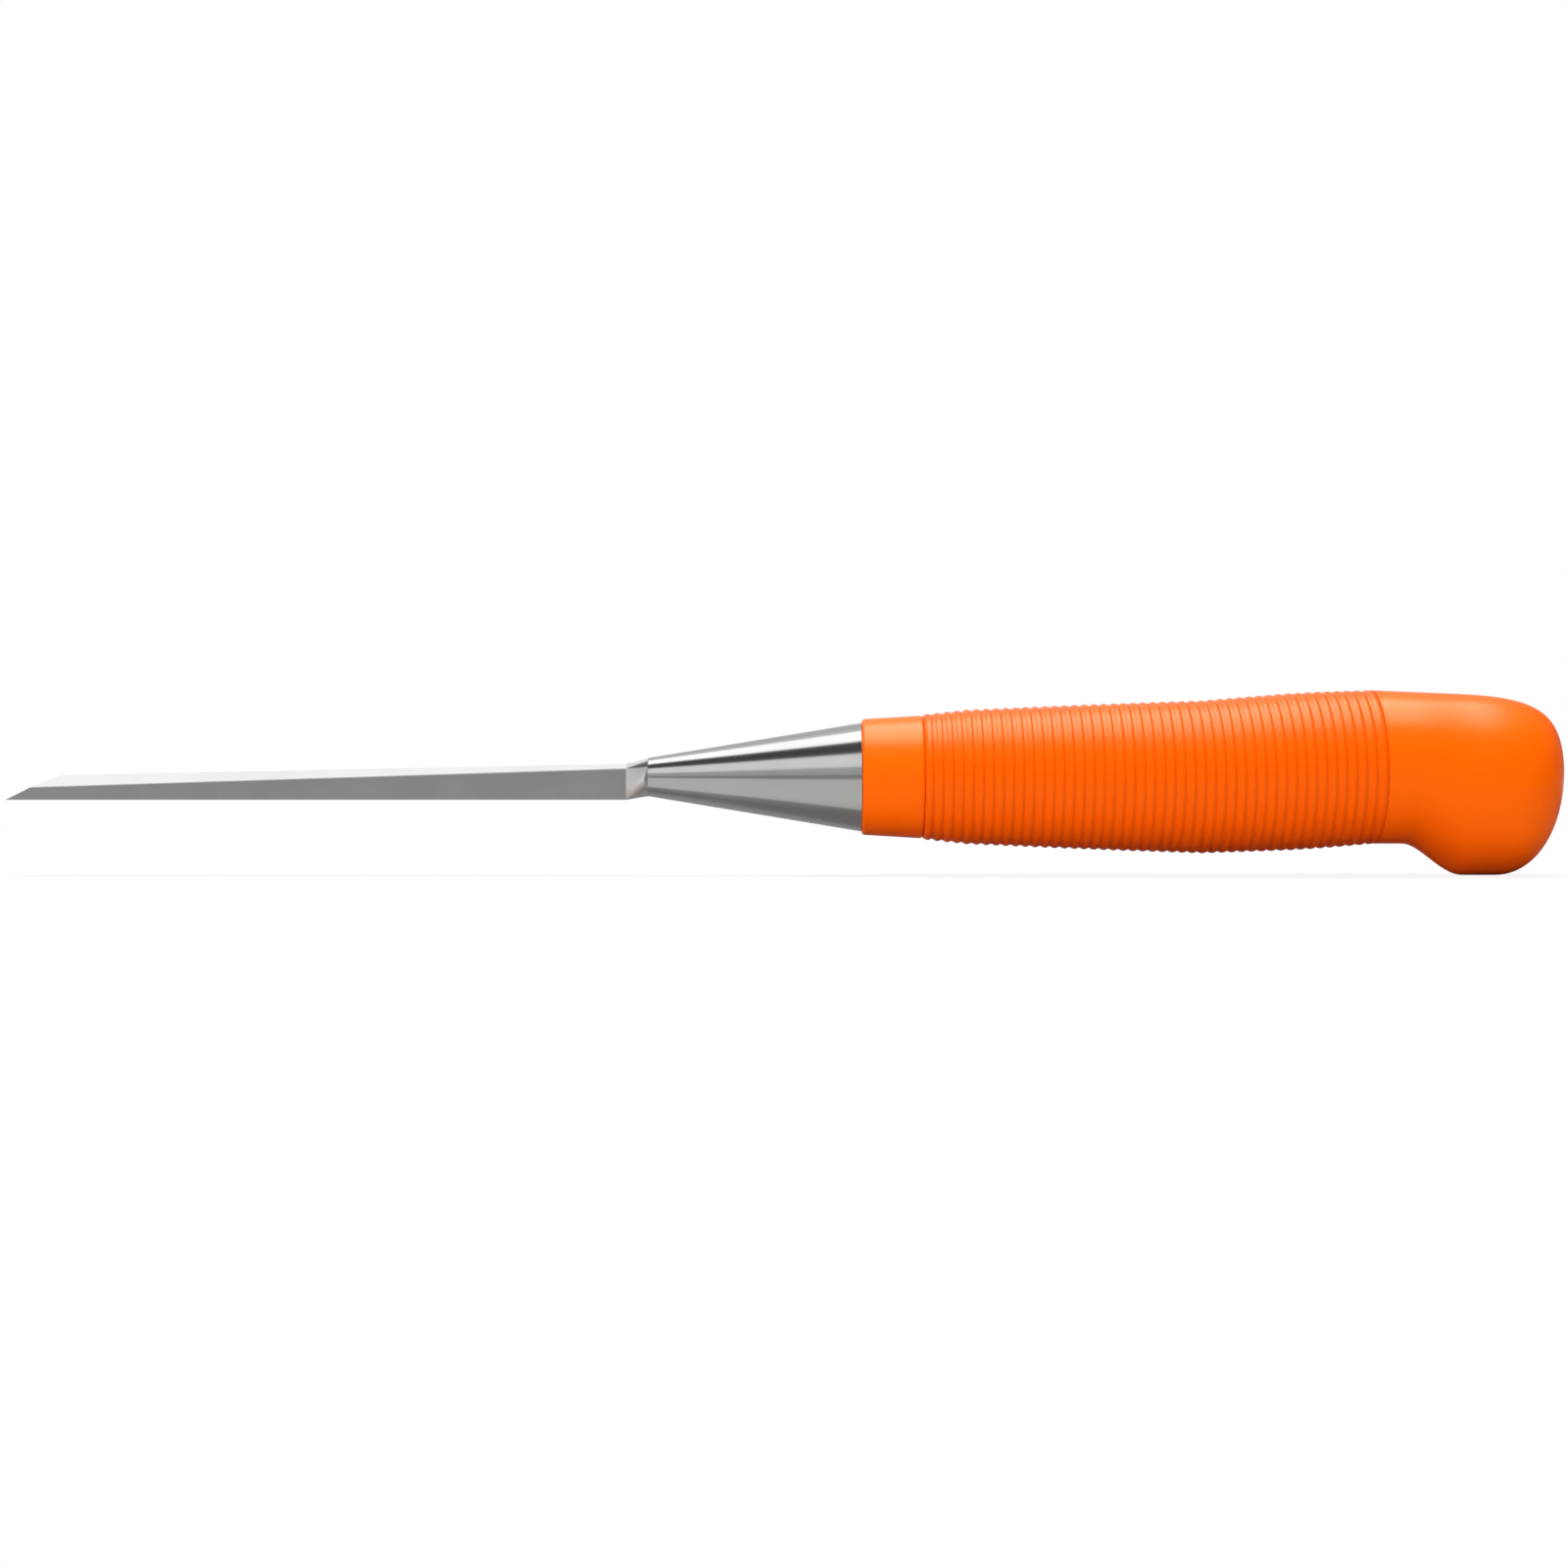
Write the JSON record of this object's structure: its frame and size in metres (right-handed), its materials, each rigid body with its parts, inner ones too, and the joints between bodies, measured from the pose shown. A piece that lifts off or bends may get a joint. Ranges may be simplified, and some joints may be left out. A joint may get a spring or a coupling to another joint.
{
  "type": "wood chisel",
  "caption": "Bevel-edge wood chisel with a steel blade, a polished conical ferrule and a ribbed orange handle that ends in a hooked pommel, for paring and chopping wood.",
  "frame": {"origin": "middle of the cutting edge, on the blade's flat back", "axes": "+X along the tool from the cutting edge to the butt, +Z from the flat back to the bevelled side, +Y across the blade"},
  "size_m": [0.2642, 0.0266, 0.0314],
  "materials": {
    "blade_steel": "fine ground",
    "ferrule_steel": "polished",
    "handle_plastic": "satin moulded",
    "grip_elastomer": "matte moulded"
  },
  "bodies": {
    "root": {"blade": "blade_steel", "ferrule": "ferrule_steel", "handle_core": "handle_plastic", "grip_sleeve": "grip_elastomer"}
  },
  "joints": []
}
